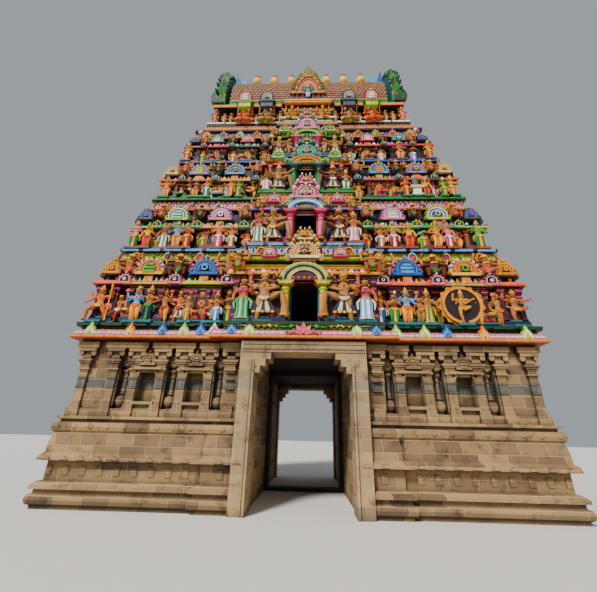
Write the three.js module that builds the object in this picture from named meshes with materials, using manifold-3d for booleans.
// A South Indian temple gateway tower: a granite base with a passage through it, four painted
// brick storeys that step back, a neck storey, and a barrel roof with seven finials.
// Millimetres, +Z up. The front faces -Y, and the origin is on the ground under the tower's centre.
import * as THREE from "three";
import { mergeVertices } from "three/addons/utils/BufferGeometryUtils.js";
import Module from "manifold-3d";

const wasm = await Module();
wasm.setup();

// How far a cutting block runs past what it cuts, and how far joined pieces lap into each other
const CUT = 50;
const WIDE_CUT = 500;
const LAP = 20;

// Granite base
const PASSAGE_HALF = 1620;
const PLINTH_TOP = 1480;
const BASEMENT_TOP = 2520;
const STONE_TOP = 4930;
const CORNICE_TOP = 5330;
const STONE_HALF_WIDTH = 7550;
const STONE_HALF_DEPTH = 4500;
const CENTRE_BAY_FACE = 4620;
const RECESS_FACE = 4250;
const PLINTH_PIER_END = 2830;
const BASEMENT_PIER_END = 2700;
const PLINTH_SIDE_START = 1300;
const BASEMENT_SIDE_START = 1250;
const SIDE_STEP = 150;
const SIDE_RECESS = 250;
const BAY_EDGES = [2620, 2950, 4200, 4560, 5820, 6180];
const SIDE_BAY_EDGES = [3250, 2900, 1500, 1150];
const PILASTER_WIDTH = 260;
const PILASTER_PROUD = 70;
const PILASTER_INSET = 60;
const WALL_FOOT = { proud: 80, top: 2760, slope: 20, slopeRise: 10 };
const NICHE = { width: 540, sill: 3000, head: 3920 };

// Gate frames and passage
const FRAME_INNER = 1550;
const FRAME_OUTER = 2030;
const FRAME_FRONT = 5000;
const FRAME_BACK = 4100;
const LINTEL_UNDERSIDE = 4560;
const CORBEL_SPRING = 3900;
const CORBEL_REACH = 510;
const CORBEL_STEPS = 3;
const INNER_FRAME_HALF = 1470;
const INNER_FRAME_THICKNESS = 600;
const CEILING_THICKNESS = 180;
const THRESHOLD_HEIGHT = 120;
const CORNICE = { centreHalf: 2700, centreStep: 200 };

// Painted storeys, from the lowest. Heights other than floor and base are above the storey's floor.
// halfWidth and halfDepth are those of the ledge that the figures stand on.
const STOREYS = [
  {
    base: CORNICE_TOP, floor: 5600, halfWidth: 7980, halfDepth: 4750, centreStep: 300,
    bayTop: 1530, shrineBase: 1900, top: 2650, centreHalf: 2600, centreEave: 1900,
    doorHalf: 500, doorHead: 1580, shrines: [3750, 5850], shrineHalf: 620, wall: 600,
  },
  {
    base: 8250, floor: 8900, halfWidth: 7460, halfDepth: 4230, centreStep: 450,
    bayTop: 1050, shrineBase: 1420, top: 2130, centreHalf: 2100, centreEave: 1750,
    doorHalf: 450, doorHead: 1700, shrines: [3600, 5450], shrineHalf: 560, wall: 550,
  },
  {
    base: 11030, floor: 11840, halfWidth: 6980, halfDepth: 3750, centreStep: 450,
    bayTop: 1040, shrineBase: 1400, top: 2080, centreHalf: 1900, centreEave: 1700,
    doorHalf: 395, doorHead: 1650, shrines: [3350, 5050], shrineHalf: 520, wall: 500,
  },
  {
    base: 13920, floor: 14550, halfWidth: 6430, halfDepth: 3200, centreStep: 350,
    bayTop: 1030, shrineBase: 1330, top: 1790, centreHalf: 1700, centreEave: 1450,
    doorHalf: 360, doorHead: 1400, shrines: [3050, 4650], shrineHalf: 420, wall: 450,
  },
];
const CORE_SETBACK = 500;
const BAY_PROUD = 230;
const OVERHANG = 190;
const EAVE_HEIGHT = 220;
const ROOM_MARGIN = 1000;
const FLOOR_THICKNESS = 300;
const CURVED = { bevelEnabled: false, curveSegments: 4 };
const BAY_MARGIN = 40;
const BAY_EAVE = 90;
const SIDE_SHRINE_INSET = 190;
const LEDGE = {
  foot: -60, under: 90, lip: 120, lipRise: 90, band: -220, bandStart: 130, slabStart: 130, slope: 20,
};
const LEDGE_CENTRE = 200;
const SLAB = 90;
const HORSESHOE = {
  width: 0.85, foot: 0.95, centre: 0.42, radius: 0.58, opening: 0.45, lift: 80, headroom: 100, inset: 60,
};
const CORNER = { neckInset: 90, sill: 60, foot: 0.92, belly: 1.04, tip: 0.25, shoulder: 0.55 };
const CENTRE_BAY = {
  proud: 100, eaveSide: 130, eaveReach: 260, eaveHeight: 150, atticReach: 150, atticHeight: 400,
};
const COLUMN = { proud: 200, offset: 190, foot: 170, head: 150, sides: 6, abacus: 210, abacusReach: 40 };
const ABACUS = { drop: 80, rise: 90 };
const ARCH = { side: 330, rise: 620, lift: 60, headroom: 80, inner: 0.9, innerRise: 0.45, depth: 420 };
const DOOR_CUT = 900;

// Neck storey and roof
const PARAPET_STEP = 300;
const TOP_PARAPET = { bottom: 16340, top: 17240, halfWidth: 6080, halfDepth: 2850 };
const NECK_FLOOR = { top: 18170, halfWidth: 5650, halfDepth: 2420, centreHalf: 1500 };
const NECK = { height: 1130, halfWidth: 5050, halfDepth: 1950, wall: 400, doorHalf: 350, doorHead: 800 };
const PORCH = { half: 1350, reach: 2350, cornice: 850, corniceSide: 100, corniceReach: 120 };
const EAVE = { bottom: 19300, top: 19600, halfWidth: 5350, halfDepth: 2450, reach: 150, porchStep: 200 };
const VAULT = { halfLength: 4550, halfSpan: 2250, spring: 19950, rise: 3350, shell: 300 };
const VAULT_SEGMENTS = 16;
const VAULT_SWELL = 0.05;
const GABLE = {
  thickness: 650, fringe: 480, tongues: 15, shortTongue: 0.55, footSide: 150, lift: 250, upward: 1.5,
};
const GABLE_CURL = { half: 420, rise: 620, offset: 60, centre: 640 };
const CREST = {
  base: 19980, half: 900, rise: 2850, front: 2480, back: 900, tongues: 11, seat: 1,
  shortTongue: 0.98, longTongue: 1.12, spring: 0.3, arch: 0.62, footSide: 200, footReach: 30,
};
const FINIAL_SPACING = 1210;
const FINIAL_COUNT = 7;
const FINIAL_HEIGHT = 2290;
const FINIAL_RADIUS = 330;
const FINIAL_SIDES = 8;
// Points of [share of the radius, share of the height]
const FINIAL_PROFILE = [
  [0, 0], [0.8, 0], [0.5, 0.1], [1, 0.26], [0.4, 0.42], [0.45, 0.5], [0.95, 0.66], [0.6, 0.84], [0, 1],
];
const RIDGE = { height: 200, half: 260 };

const PAINTED = { roughness: 0.7, metalness: 0 };
const granite = new THREE.MeshStandardMaterial({ color: 0xa98b62, roughness: 0.9, metalness: 0 });
const ochrePaint = new THREE.MeshStandardMaterial({ color: 0xc9743a, ...PAINTED });
const tealPaint = new THREE.MeshStandardMaterial({ color: 0x2f6f7c, ...PAINTED });
const pinkPaint = new THREE.MeshStandardMaterial({ color: 0xd98aa0, ...PAINTED });
const yellowPaint = new THREE.MeshStandardMaterial({ color: 0xd9b23a, ...PAINTED });
const greenPaint = new THREE.MeshStandardMaterial({ color: 0x4b8a3f, ...PAINTED });
const roofPaint = new THREE.MeshStandardMaterial({ color: 0xb4553e, ...PAINTED });

// Turns a closed geometry into a solid that can be joined and cut.
function solid(geometry) {
  const bare = geometry.index ? geometry.toNonIndexed() : geometry.clone();
  bare.deleteAttribute("normal");
  bare.deleteAttribute("uv");
  const merged = mergeVertices(bare, 1e-3);
  return new wasm.Manifold(
    new wasm.Mesh({
      numProp: 3,
      vertProperties: merged.attributes.position.array,
      triVerts: new Uint32Array(merged.index.array),
    }),
  );
}

// Turns a solid back into a geometry.
function geometryOf(made) {
  const mesh = made.getMesh();
  const geometry = new THREE.BufferGeometry();
  geometry.setAttribute("position", new THREE.BufferAttribute(mesh.vertProperties, 3));
  geometry.setIndex(new THREE.BufferAttribute(mesh.triVerts, 1));
  geometry.computeVertexNormals();
  return geometry;
}

// Joins geometries into one solid and cuts others out of it.
function build(pieces, cuts = []) {
  const whole = pieces.map(solid).reduce((a, b) => a.add(b));
  return geometryOf(cuts.map(solid).reduce((a, b) => a.subtract(b), whole));
}

function block(x0, x1, y0, y1, z0, z1) {
  const box = new THREE.BoxGeometry(x1 - x0, y1 - y0, z1 - z0);
  return box.translate((x0 + x1) / 2, (y0 + y1) / 2, (z0 + z1) / 2);
}

// Pushes every edge of an outline of right angles outwards. An edge on x = still stays.
function pushedOut(outline, distance, still) {
  const shift = (a, b) => {
    const alongX = a[1] === b[1];
    if (!alongX && a[0] === still) return 0;
    return (alongX ? -Math.sign(b[0] - a[0]) : Math.sign(b[1] - a[1])) * distance;
  };
  return outline.map((corner, i) => {
    const before = outline[(i + outline.length - 1) % outline.length];
    const after = outline[(i + 1) % outline.length];
    const [across, along] = before[0] === corner[0] ? [before, after] : [after, before];
    const dx = across === before ? shift(before, corner) : shift(corner, after);
    const dy = along === before ? shift(before, corner) : shift(corner, after);
    return [corner[0] + dx, corner[1] + dy];
  });
}

// A solid over a plan outline, whose faces follow a profile of [projection, height] points.
function moulding(outline, profile, still = Infinity) {
  const rings = profile.map(([out, z]) =>
    pushedOut(outline, out, still).map(([x, y]) => [x, y, z]),
  );
  const cap = THREE.ShapeUtils.triangulateShape(
    outline.map(([x, y]) => new THREE.Vector2(x, y)),
    [],
  );
  const count = outline.length;
  const last = (rings.length - 1) * count;
  const index = [];
  for (const [a, b, c] of cap) {
    index.push(c, b, a, last + a, last + b, last + c);
  }
  for (let ring = 0; ring < rings.length - 1; ring++) {
    for (let i = 0; i < count; i++) {
      const a = ring * count + i;
      const b = ring * count + ((i + 1) % count);
      index.push(a, b, b + count, a, b + count, a + count);
    }
  }
  const geometry = new THREE.BufferGeometry();
  geometry.setAttribute("position", new THREE.Float32BufferAttribute(rings.flat(2), 3));
  geometry.setIndex(index);
  return geometry;
}

// A rectangle about the centre, with its front and back middles brought forward.
function steppedPlan(halfWidth, halfDepth, centreHalf, centreStep) {
  const front = [
    [-halfWidth, -halfDepth],
    [-centreHalf, -halfDepth],
    [-centreHalf, -halfDepth - centreStep],
    [centreHalf, -halfDepth - centreStep],
    [centreHalf, -halfDepth],
    [halfWidth, -halfDepth],
  ];
  return [...front, ...front.map(([x, y]) => [-x, -y])];
}

// The outline of the stone block on the right of the passage, from runs of [start, face].
function stoneOutline(frontRuns, sideRuns) {
  const corners = [];
  frontRuns.forEach(([start, face], i) => {
    if (i) corners.push([start, -frontRuns[i - 1][1]]);
    corners.push([start, -face]);
  });
  const cornerFace = frontRuns.at(-1)[1];
  const half = [...corners, [sideRuns[0][1], -cornerFace]];
  sideRuns.slice(1).forEach(([start, face], i) => {
    half.push([sideRuns[i][1], -start], [face, -start]);
  });
  return [...half, ...half.map(([x, y]) => [x, -y]).reverse()];
}

const PLINTH_PLAN = stoneOutline(
  [[PASSAGE_HALF, CENTRE_BAY_FACE], [PLINTH_PIER_END, STONE_HALF_DEPTH]],
  [[0, STONE_HALF_WIDTH], [PLINTH_SIDE_START, STONE_HALF_WIDTH + SIDE_STEP]],
);
const BASEMENT_PLAN = stoneOutline(
  [[PASSAGE_HALF, CENTRE_BAY_FACE], [BASEMENT_PIER_END, STONE_HALF_DEPTH]],
  [[0, STONE_HALF_WIDTH], [BASEMENT_SIDE_START, STONE_HALF_WIDTH + SIDE_STEP]],
);
const WALL_PLAN = stoneOutline(
  [[PASSAGE_HALF, RECESS_FACE]],
  [
    [0, STONE_HALF_WIDTH],
    ...SIDE_BAY_EDGES.map((edge, i) => [edge, STONE_HALF_WIDTH - (i % 2 ? 0 : SIDE_RECESS)]),
  ],
);
const PLINTH_PROFILE = [
  [250, 0], [250, 90], [340, 140], [370, 250], [340, 360], [250, 400], [250, 500],
  [350, 510], [350, 600], [240, 700], [130, 720], [130, 1240],
  [360, 1260], [330, 1400], [240, PLINTH_TOP],
];
const BASEMENT_PROFILE = [
  [230, PLINTH_TOP], [220, 1740], [170, 2040], [230, 2090], [260, 2200], [230, 2320],
  [110, 2340], [110, 2420], [200, 2430], [200, BASEMENT_TOP],
];

// The pockets in the stone masses where the front and back gate frames stand.
const FRAME_POCKETS = [-1, 1].map((side) =>
  block(
    PASSAGE_HALF - CUT, FRAME_OUTER,
    side > 0 ? FRAME_BACK : -FRAME_FRONT - WIDE_CUT, side > 0 ? FRAME_FRONT + WIDE_CUT : -FRAME_BACK,
    -CUT, STONE_TOP + CUT,
  ),
);

// One course of the granite base on one side of the passage.
function stoneCourse(plan, profile) {
  return build([moulding(plan, profile, PASSAGE_HALF)], FRAME_POCKETS);
}

// The plain wall on one side of the passage, flat in front and behind, with a bay in the middle of its side.
function stoneWall() {
  const { proud, top, slope, slopeRise } = WALL_FOOT;
  const walls = moulding(
    WALL_PLAN,
    [[proud, BASEMENT_TOP], [proud - slope, top - slopeRise], [0, top], [0, STONE_TOP]],
    PASSAGE_HALF,
  );
  const clearOfFronts = [-1, 1].map((side) => block(
    0, STONE_HALF_WIDTH + WIDE_CUT,
    side > 0 ? RECESS_FACE : -RECESS_FACE - WIDE_CUT, side > 0 ? RECESS_FACE + WIDE_CUT : -RECESS_FACE,
    BASEMENT_TOP - CUT, STONE_TOP + CUT,
  ));
  return build([walls], [...clearOfFronts, ...FRAME_POCKETS]);
}

// What stands before that wall, on the right (1) or left (-1) of the gate, on its foot course: the pier by
// the gate and the inner bay, or the outer bay and the corner. Each bay has a niche and two pilasters.
function stoneFront(side, outer) {
  const standing = (x0, x1, face, z0, z1) =>
    block(Math.min(side * x0, side * x1), Math.max(side * x0, side * x1), -face, -RECESS_FACE, z0, z1);
  const [pierEnd, innerLeft, innerRight, outerLeft, outerRight, cornerStart] = BAY_EDGES;
  const split = (innerRight + outerLeft) / 2;
  const bay = outer ? [outerLeft, outerRight] : [innerLeft, innerRight];
  const panels = outer ? [bay, [cornerStart, STONE_HALF_WIDTH]] : [bay];
  const { proud, top } = WALL_FOOT;
  const pieces = outer
    ? [standing(split, STONE_HALF_WIDTH + proud, STONE_HALF_DEPTH + proud, BASEMENT_TOP, top)]
    : [
      standing(FRAME_OUTER, innerLeft, CENTRE_BAY_FACE + proud, BASEMENT_TOP, top),
      standing(innerLeft, split, STONE_HALF_DEPTH + proud, BASEMENT_TOP, top),
      standing(FRAME_OUTER, pierEnd, CENTRE_BAY_FACE, BASEMENT_TOP, STONE_TOP),
    ];
  for (const [left, right] of panels) {
    pieces.push(standing(left, right, STONE_HALF_DEPTH, BASEMENT_TOP, STONE_TOP));
    for (const x of [left + PILASTER_INSET, right - PILASTER_INSET - PILASTER_WIDTH]) {
      pieces.push(
        standing(x, x + PILASTER_WIDTH, STONE_HALF_DEPTH + PILASTER_PROUD, BASEMENT_TOP, STONE_TOP),
      );
    }
  }
  const middle = side * (bay[0] + bay[1]) / 2;
  const niche = block(
    middle - NICHE.width / 2, middle + NICHE.width / 2,
    -STONE_HALF_DEPTH - 2 * PILASTER_PROUD, -RECESS_FACE + CUT, NICHE.sill, NICHE.head,
  );
  return build(pieces, [niche]);
}

// A gate frame of two jamb pillars, a lintel and stepped corbels under it.
function gateFrame() {
  const pieces = [
    block(-FRAME_OUTER, FRAME_OUTER, -FRAME_FRONT, -FRAME_BACK, LINTEL_UNDERSIDE, STONE_TOP),
  ];
  const rise = (LINTEL_UNDERSIDE - CORBEL_SPRING) / CORBEL_STEPS;
  for (const side of [-1, 1]) {
    const xs = (a, b) => [Math.min(side * a, side * b), Math.max(side * a, side * b)];
    pieces.push(block(...xs(FRAME_INNER, FRAME_OUTER), -FRAME_FRONT, -FRAME_BACK, 0, STONE_TOP));
    for (let step = 1; step <= CORBEL_STEPS; step++) {
      const reach = FRAME_INNER - (CORBEL_REACH * step) / CORBEL_STEPS;
      const low = CORBEL_SPRING + rise * (step - 1);
      pieces.push(
        block(...xs(reach, FRAME_INNER + LAP), -FRAME_FRONT, -FRAME_BACK, low, LINTEL_UNDERSIDE + LAP),
      );
    }
  }
  return build(pieces);
}

// The narrower frame at the middle of the passage, where the gate closes.
function innerDoorFrame() {
  const deep = INNER_FRAME_THICKNESS / 2;
  const opening = block(
    -INNER_FRAME_HALF, INNER_FRAME_HALF, -deep - CUT, deep + CUT, THRESHOLD_HEIGHT, LINTEL_UNDERSIDE,
  );
  return build(
    [block(-PASSAGE_HALF, PASSAGE_HALF, -deep, deep, 0, STONE_TOP - CEILING_THICKNESS)],
    [opening],
  );
}

// The painted cornice that runs round the top of the stone base.
function stoneCornice() {
  const plan = steppedPlan(STONE_HALF_WIDTH, STONE_HALF_DEPTH, CORNICE.centreHalf, CORNICE.centreStep);
  return build([
    moulding(plan, [
      [100, STONE_TOP], [100, 5000], [420, 5010], [430, 5090], [360, 5250], [200, CORNICE_TOP],
    ]),
  ]);
}

// The ledge and floor under a storey: an eave below, a recessed band, and a slab to stand on.
// It is hollow underneath, inside the walls that carry it.
function storeyFloor(storey, below) {
  const { base, floor, halfWidth, halfDepth, centreHalf, centreStep } = storey;
  const { foot, under, lip, lipRise, band, bandStart, slabStart, slope } = LEDGE;
  const plan = steppedPlan(halfWidth, halfDepth, centreHalf + LEDGE_CENTRE, centreStep);
  if (!below) {
    const edge = [[band, base], [band, floor - SLAB], [0, floor - SLAB + slope], [0, floor]];
    return build([moulding(plan, edge)]);
  }
  const roomHalf = below.halfWidth - CORE_SETBACK - below.wall;
  const roomDepth = below.halfDepth - CORE_SETBACK - below.wall;
  const profile = [
    [foot, base], [under, base + slope], [lip, base + lipRise], [band, base + bandStart],
    [band, floor - slabStart], [0, floor - slabStart + slope], [0, floor],
  ];
  return build(
    [moulding(plan, profile)],
    [block(-roomHalf, roomHalf, -roomDepth, roomDepth, base - CUT, floor - FLOOR_THICKNESS)],
  );
}

// The horseshoe plate on the front of a miniature shrine.
function horseshoe(middle, front, deep, bottom, half, rise) {
  const { foot, centre, radius, opening } = HORSESHOE;
  const shape = new THREE.Shape();
  shape.moveTo(-half * foot, 0);
  shape.lineTo(half * foot, 0);
  shape.absellipse(0, rise * centre, half, rise * radius, -opening, Math.PI + opening, false);
  return new THREE.ExtrudeGeometry(shape, { depth: deep, ...CURVED })
    .rotateX(Math.PI / 2)
    .translate(middle, -front + deep, bottom);
}

// A bay with its eave, and the slab and horseshoe of the miniature shrine on it.
function shrineBay(storey, middle, face) {
  const { bayTop, shrineBase, top, shrineHalf } = storey;
  const bay = shrineHalf + BAY_MARGIN;
  const bayFace = face + BAY_PROUD;
  const eaveFace = bayFace + OVERHANG;
  const behind = -face + CUT;
  const { width, lift, headroom, inset } = HORSESHOE;
  return [
    block(middle - bay, middle + bay, -bayFace, behind, 0, bayTop + LAP),
    block(middle - bay - BAY_EAVE, middle + bay + BAY_EAVE, -eaveFace, behind, bayTop, bayTop + EAVE_HEIGHT),
    block(middle - shrineHalf, middle + shrineHalf, -eaveFace, behind, shrineBase, shrineBase + SLAB),
    horseshoe(
      middle, eaveFace - inset, eaveFace - face, shrineBase + lift, shrineHalf * width,
      top - shrineBase - headroom,
    ),
  ];
}

// One wall of a storey with its bays, eaves and row of miniature shrines, facing -Y.
// run holds the half length, the face of the core, the shrines' places and any doorway.
function storeyWall(storey, run) {
  const { top, wall, doorHalf, doorHead } = storey;
  const { half, face, shrines, corners, centreHalf, door } = run;
  const pieces = [block(-half, half, -face, -face + wall, 0, top)];
  for (const middle of shrines) {
    pieces.push(...shrineBay(storey, middle, face));
  }
  const room = block(
    -half - ROOM_MARGIN, half + ROOM_MARGIN, -face + wall, -face + 2 * wall, -CUT, top + CUT,
  );
  const cuts = [room];
  if (corners) {
    pieces.push(...cornerShrine(storey, -1, half, face), ...cornerShrine(storey, 1, half, face));
  }
  if (door) {
    pieces.push(...centreBay(storey, face, centreHalf));
    cuts.push(block(-doorHalf, doorHalf, -face - DOOR_CUT, -face + wall + CUT, -CUT, doorHead));
  }
  return build(pieces, cuts);
}

// The square shrine on a corner of the storey, as deep as the wall and its bay together.
function cornerShrine(storey, side, half, face) {
  const { bayTop, shrineBase, top, wall } = storey;
  const { neckInset, sill, foot, belly, tip } = CORNER;
  const size = wall + BAY_PROUD;
  const outer = half + BAY_PROUD;
  const xs = (a, b) => [Math.min(side * a, side * b), Math.max(side * a, side * b)];
  const square = (grow, z0, z1) =>
    block(...xs(outer - size - grow, outer + grow), -face - BAY_PROUD - grow, -face + wall + grow, z0, z1);
  const radius = (size / 2) * Math.SQRT2;
  const roof = (low, high, z0, z1) =>
    new THREE.CylinderGeometry(high * radius, low * radius, z1 - z0, 4)
      .rotateY(Math.PI / 4)
      .rotateX(Math.PI / 2)
      .translate(side * (outer - size / 2), -face - BAY_PROUD + size / 2, (z0 + z1) / 2);
  const shoulder = shrineBase + (top - shrineBase) * CORNER.shoulder;
  return [
    square(0, 0, bayTop + LAP),
    square(OVERHANG, bayTop, bayTop + EAVE_HEIGHT),
    square(-neckInset, bayTop + EAVE_HEIGHT - LAP, shrineBase + LAP),
    square(sill, shrineBase, shrineBase + SLAB),
    roof(foot, belly, shrineBase + SLAB - 10, shoulder),
    roof(belly, tip, shoulder - 1, top - LAP),
  ];
}

// The middle bay with the doorway: a deeper wall, two columns, an arch and a stepped eave.
function centreBay(storey, face, centreHalf) {
  const { doorHalf, doorHead, centreEave, centreStep, top } = storey;
  const { proud, eaveSide, eaveReach, eaveHeight, atticReach, atticHeight } = CENTRE_BAY;
  const bayFace = face + centreStep + proud;
  const behind = -face + CUT;
  const atticTop = Math.min(centreEave + atticHeight, top);
  const columnFront = bayFace + COLUMN.proud;
  const columnTop = doorHead - ARCH.lift;
  const pieces = [
    block(-centreHalf, centreHalf, -bayFace, behind, 0, centreEave + LAP),
    block(
      -centreHalf - eaveSide, centreHalf + eaveSide, -bayFace - eaveReach, behind,
      centreEave, centreEave + eaveHeight,
    ),
    block(
      -centreHalf, centreHalf, -bayFace - atticReach, behind, centreEave + eaveHeight - 10, atticTop,
    ),
  ];
  for (const side of [-1, 1]) {
    const x = side * (doorHalf + COLUMN.offset);
    pieces.push(
      new THREE.CylinderGeometry(COLUMN.head, COLUMN.foot, columnTop, COLUMN.sides)
        .rotateX(Math.PI / 2)
        .translate(x, -columnFront + COLUMN.foot, columnTop / 2),
      block(
        x - COLUMN.abacus, x + COLUMN.abacus, -columnFront - COLUMN.abacusReach, -face,
        doorHead - ABACUS.drop, doorHead + ABACUS.rise,
      ),
    );
  }
  const rise = Math.min(top - doorHead - ARCH.headroom, ARCH.rise);
  const shape = new THREE.Shape();
  shape.absellipse(0, 0, doorHalf + ARCH.side, rise, 0, Math.PI, false);
  shape.lineTo(-doorHalf * ARCH.inner, 0);
  shape.absellipse(0, 0, doorHalf * ARCH.inner, rise * ARCH.innerRise, Math.PI, 0, true);
  shape.closePath();
  pieces.push(
    new THREE.ExtrudeGeometry(shape, { depth: ARCH.depth, ...CURVED })
      .rotateX(Math.PI / 2)
      .translate(0, -columnFront + ARCH.depth - COLUMN.abacusReach, doorHead + ARCH.lift),
  );
  return pieces;
}

// The parapet over the fourth storey, with its eave below.
function topParapet() {
  const { bottom, top, halfWidth, halfDepth } = TOP_PARAPET;
  const below = STOREYS.at(-1);
  const roomHalf = below.halfWidth - CORE_SETBACK - below.wall;
  const roomDepth = below.halfDepth - CORE_SETBACK - below.wall;
  const profile = [
    [-60, bottom], [90, bottom + 20], [110, bottom + 100], [-150, bottom + 130],
    [-150, top - 280], [-40, top - 240], [-220, top],
  ];
  return build(
    [moulding(steppedPlan(halfWidth, halfDepth, below.centreHalf, PARAPET_STEP), profile)],
    [block(-roomHalf, roomHalf, -roomDepth, roomDepth, bottom - CUT, top - FLOOR_THICKNESS)],
  );
}

// The stepped platform that the neck stands on.
function neckFloor() {
  const { top, halfWidth, halfDepth, centreHalf } = NECK_FLOOR;
  const start = TOP_PARAPET.top;
  const roomHalf = NECK.halfWidth - NECK.wall;
  const roomDepth = NECK.halfDepth - NECK.wall;
  const profile = [
    [-60, start], [60, start + 120], [60, start + 300], [-150, start + 330],
    [-150, top - 270], [0, top - 240], [0, top],
  ];
  return build(
    [moulding(steppedPlan(halfWidth, halfDepth, centreHalf, PARAPET_STEP), profile)],
    [block(-roomHalf, roomHalf, -roomDepth, roomDepth, start - CUT, top - FLOOR_THICKNESS)],
  );
}

// One wall of the neck. The front and the back have a porch with a doorway.
function neckWall(half, face, door) {
  const { height, wall, doorHalf, doorHead } = NECK;
  const { reach, cornice, corniceSide, corniceReach } = PORCH;
  const pieces = [block(-half, half, -face, -face + wall, 0, height)];
  const cuts = [];
  if (door) {
    const corniceHalf = PORCH.half + corniceSide;
    pieces.push(
      block(-PORCH.half, PORCH.half, -reach + corniceReach, -face + LAP, 0, height),
      block(-corniceHalf, corniceHalf, -reach, -face + LAP, cornice, height),
    );
    cuts.push(block(-doorHalf, doorHalf, -reach - CUT, -face + wall + CUT, -CUT, doorHead));
  }
  return build(pieces, cuts);
}

// Half of the roof's cross-section, from the eave on one side over the ridge to the other.
function vaultLine(grow) {
  const { halfSpan, spring, rise } = VAULT;
  const line = [[halfSpan + grow, EAVE.top]];
  for (let i = 0; i <= VAULT_SEGMENTS; i++) {
    const angle = (Math.PI * i) / VAULT_SEGMENTS;
    const across = (halfSpan + grow) * Math.cos(angle) * (1 + VAULT_SWELL * Math.sin(2 * angle) ** 2);
    line.push([across, spring + (rise + grow) * Math.sin(angle)]);
  }
  return [...line, [-halfSpan - grow, EAVE.top]];
}

// Stands a shape drawn in Y and Z upright and runs it along X.
function alongX(points, x0, x1) {
  const shape = new THREE.Shape(points.map(([y, z]) => new THREE.Vector2(y, z)));
  return new THREE.ExtrudeGeometry(shape, { depth: x1 - x0, bevelEnabled: false })
    .rotateX(Math.PI / 2)
    .rotateZ(Math.PI / 2)
    .translate(x0, 0, 0);
}

// The hollow shell of the barrel roof.
function roofVault() {
  const { halfLength, shell } = VAULT;
  return build(
    [alongX(vaultLine(0), -halfLength, halfLength)],
    [alongX(
      vaultLine(-shell).map(([y, z]) => [y, z === EAVE.top ? z - CUT : z]),
      -halfLength - CUT, halfLength + CUT,
    )],
  );
}

// The gable end: a horseshoe wall with a fringe of flames and a curl at each foot.
function gable() {
  const { thickness, fringe, tongues, shortTongue, footSide, lift, upward } = GABLE;
  const { halfLength, halfSpan, spring, rise } = VAULT;
  const outline = [[halfSpan + footSide, EAVE.top]];
  for (let i = 0; i <= tongues * 2; i++) {
    const angle = (Math.PI * i) / (tongues * 2);
    const reach = i % 2 ? fringe : fringe * shortTongue;
    outline.push([
      (halfSpan + reach) * Math.cos(angle),
      spring + lift + (rise + reach * upward) * Math.sin(angle),
    ]);
  }
  outline.push([-halfSpan - footSide, EAVE.top]);
  const curl = (side) => {
    const shape = new THREE.Shape();
    shape.absellipse(0, 0, GABLE_CURL.half, GABLE_CURL.rise, 0, 2 * Math.PI, false);
    return new THREE.ExtrudeGeometry(shape, { depth: thickness, ...CURVED })
      .rotateX(Math.PI / 2)
      .rotateZ(Math.PI / 2)
      .translate(halfLength, side * (halfSpan + GABLE_CURL.offset), EAVE.top + GABLE_CURL.centre);
  };
  return build([alongX(outline, halfLength, halfLength + thickness), curl(-1), curl(1)]);
}

// The flame-edged arch over the porch. It runs back until it meets the roof.
function crest() {
  const { base, half, rise, front, back, tongues, seat } = CREST;
  const { shortTongue, longTongue, spring, arch, footSide, footReach } = CREST;
  const shape = new THREE.Shape();
  shape.moveTo(-half, 0);
  shape.lineTo(half, 0);
  for (let i = 0; i <= tongues * 2; i++) {
    const angle = (Math.PI * i) / (tongues * 2);
    const reach = i % 2 ? longTongue : shortTongue;
    shape.lineTo(half * reach * Math.cos(angle), rise * (spring + arch * reach * Math.sin(angle)));
  }
  const plate = new THREE.ExtrudeGeometry(shape, { depth: front - back, bevelEnabled: false })
    .rotateX(Math.PI / 2)
    .translate(0, -back, base);
  const foot = block(-half - footSide, half + footSide, -front - footReach, -back, EAVE.top, base + LAP);
  const roof = alongX(vaultLine(seat), -VAULT.halfLength, VAULT.halfLength);
  return build([plate, foot], [roof]);
}

// Seven pot finials on a ridge beam.
function ridgeFinials() {
  const ridge = VAULT.spring + VAULT.rise;
  const beamHalf = VAULT.halfLength - LAP;
  const profile = FINIAL_PROFILE.map(([r, z]) => new THREE.Vector2(r * FINIAL_RADIUS, z * FINIAL_HEIGHT));
  const beam = block(-beamHalf, beamHalf, -RIDGE.half, RIDGE.half, ridge, ridge + RIDGE.height);
  const pots = [];
  for (let i = 0; i < FINIAL_COUNT; i++) {
    const x = (i - (FINIAL_COUNT - 1) / 2) * FINIAL_SPACING;
    pots.push(
      new THREE.LatheGeometry(profile, FINIAL_SIDES)
        .rotateX(Math.PI / 2)
        .translate(x, 0, ridge + RIDGE.height - LAP),
    );
  }
  return build([beam, ...pots]);
}

const tower = new THREE.Group();

function place(name, geometry, material, parent = tower, turn = 0) {
  const mesh = new THREE.Mesh(geometry, material);
  mesh.name = name;
  mesh.rotation.z = turn;
  parent.add(mesh);
}

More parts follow.
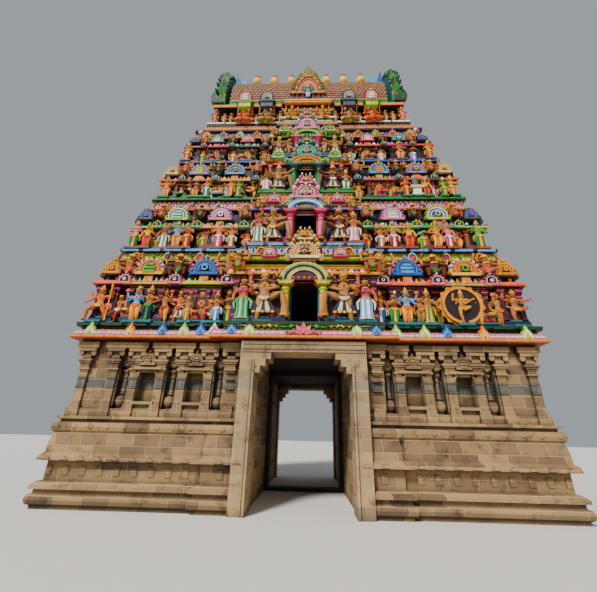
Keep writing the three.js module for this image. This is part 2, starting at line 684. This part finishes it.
const HALF_TURN = Math.PI;
const plinth = stoneCourse(PLINTH_PLAN, PLINTH_PROFILE);
const basement = stoneCourse(BASEMENT_PLAN, BASEMENT_PROFILE);
const wall = stoneWall();
for (const [side, turn] of [["right", 0], ["left", HALF_TURN]]) {
  place(`plinth_${side}`, plinth, granite, tower, turn);
  place(`basement_${side}`, basement, granite, tower, turn);
  place(`stone_wall_${side}`, wall, granite, tower, turn);
}
for (const [side, sign] of [["right", 1], ["left", -1]]) {
  for (const [part, outer] of [["", false], ["corner_", true]]) {
    place(`stone_front_${part}${side}`, stoneFront(sign, outer), granite);
    place(`stone_back_${part}${side}`, stoneFront(-sign, outer), granite, tower, HALF_TURN);
  }
}
const frame = gateFrame();
place("front_gate_frame", frame, granite);
place("back_gate_frame", frame, granite, tower, HALF_TURN);
place("inner_door_frame", innerDoorFrame(), granite);
place("passage_ceiling", block(
  -PASSAGE_HALF, PASSAGE_HALF, -FRAME_BACK, FRAME_BACK, STONE_TOP - CEILING_THICKNESS, STONE_TOP,
), granite);
place("stone_cornice", stoneCornice(), pinkPaint);

STOREYS.forEach((storey, i) => {
  const name = `tier_${i + 1}`;
  place(`${name}_floor`, storeyFloor(storey, STOREYS[i - 1]), i % 2 ? greenPaint : tealPaint);
  const level = new THREE.Group();
  level.position.z = storey.floor;
  tower.add(level);
  const half = storey.halfWidth - CORE_SETBACK;
  const face = storey.halfDepth - CORE_SETBACK;
  const front = storeyWall(storey, {
    half, face, corners: true, door: true, centreHalf: storey.centreHalf,
    shrines: storey.shrines.flatMap((x) => [-x, x]),
  });
  place(`${name}_front_wall`, front, ochrePaint, level);
  place(`${name}_back_wall`, front, ochrePaint, level, HALF_TURN);
  const panel = face - storey.wall;
  const spread = panel - storey.shrineHalf - SIDE_SHRINE_INSET;
  const side = storeyWall(storey, {
    half: panel, face: half, shrines: [-spread, 0, spread], corners: false, door: false,
  });
  place(`${name}_right_wall`, side, ochrePaint, level, HALF_TURN / 2);
  place(`${name}_left_wall`, side, ochrePaint, level, -HALF_TURN / 2);
});

place("top_parapet", topParapet(), pinkPaint);
place("neck_floor", neckFloor(), yellowPaint);
const neckLevel = new THREE.Group();
neckLevel.position.z = NECK_FLOOR.top;
tower.add(neckLevel);
const neckFront = neckWall(NECK.halfWidth, NECK.halfDepth, true);
const neckSide = neckWall(NECK.halfDepth - NECK.wall, NECK.halfWidth, false);
place("neck_front_wall", neckFront, yellowPaint, neckLevel);
place("neck_back_wall", neckFront, yellowPaint, neckLevel, HALF_TURN);
place("neck_right_wall", neckSide, yellowPaint, neckLevel, HALF_TURN / 2);
place("neck_left_wall", neckSide, yellowPaint, neckLevel, -HALF_TURN / 2);

const eavePlan = steppedPlan(
  EAVE.halfWidth - EAVE.reach, EAVE.halfDepth - EAVE.reach, PORCH.half, EAVE.porchStep,
);
const eaveProfile = [
  [0, EAVE.bottom], [130, EAVE.bottom + 40], [EAVE.reach, EAVE.top - 60], [60, EAVE.top],
];
place("roof_eave", build([moulding(eavePlan, eaveProfile)]), greenPaint);
place("roof_vault", roofVault(), roofPaint);
const gableEnd = gable();
place("right_gable", gableEnd, greenPaint);
place("left_gable", gableEnd, greenPaint, tower, HALF_TURN);
const arch = crest();
place("front_crest", arch, yellowPaint);
place("back_crest", arch, yellowPaint, tower, HALF_TURN);
place("ridge_finials", ridgeFinials(), yellowPaint);

export default tower;
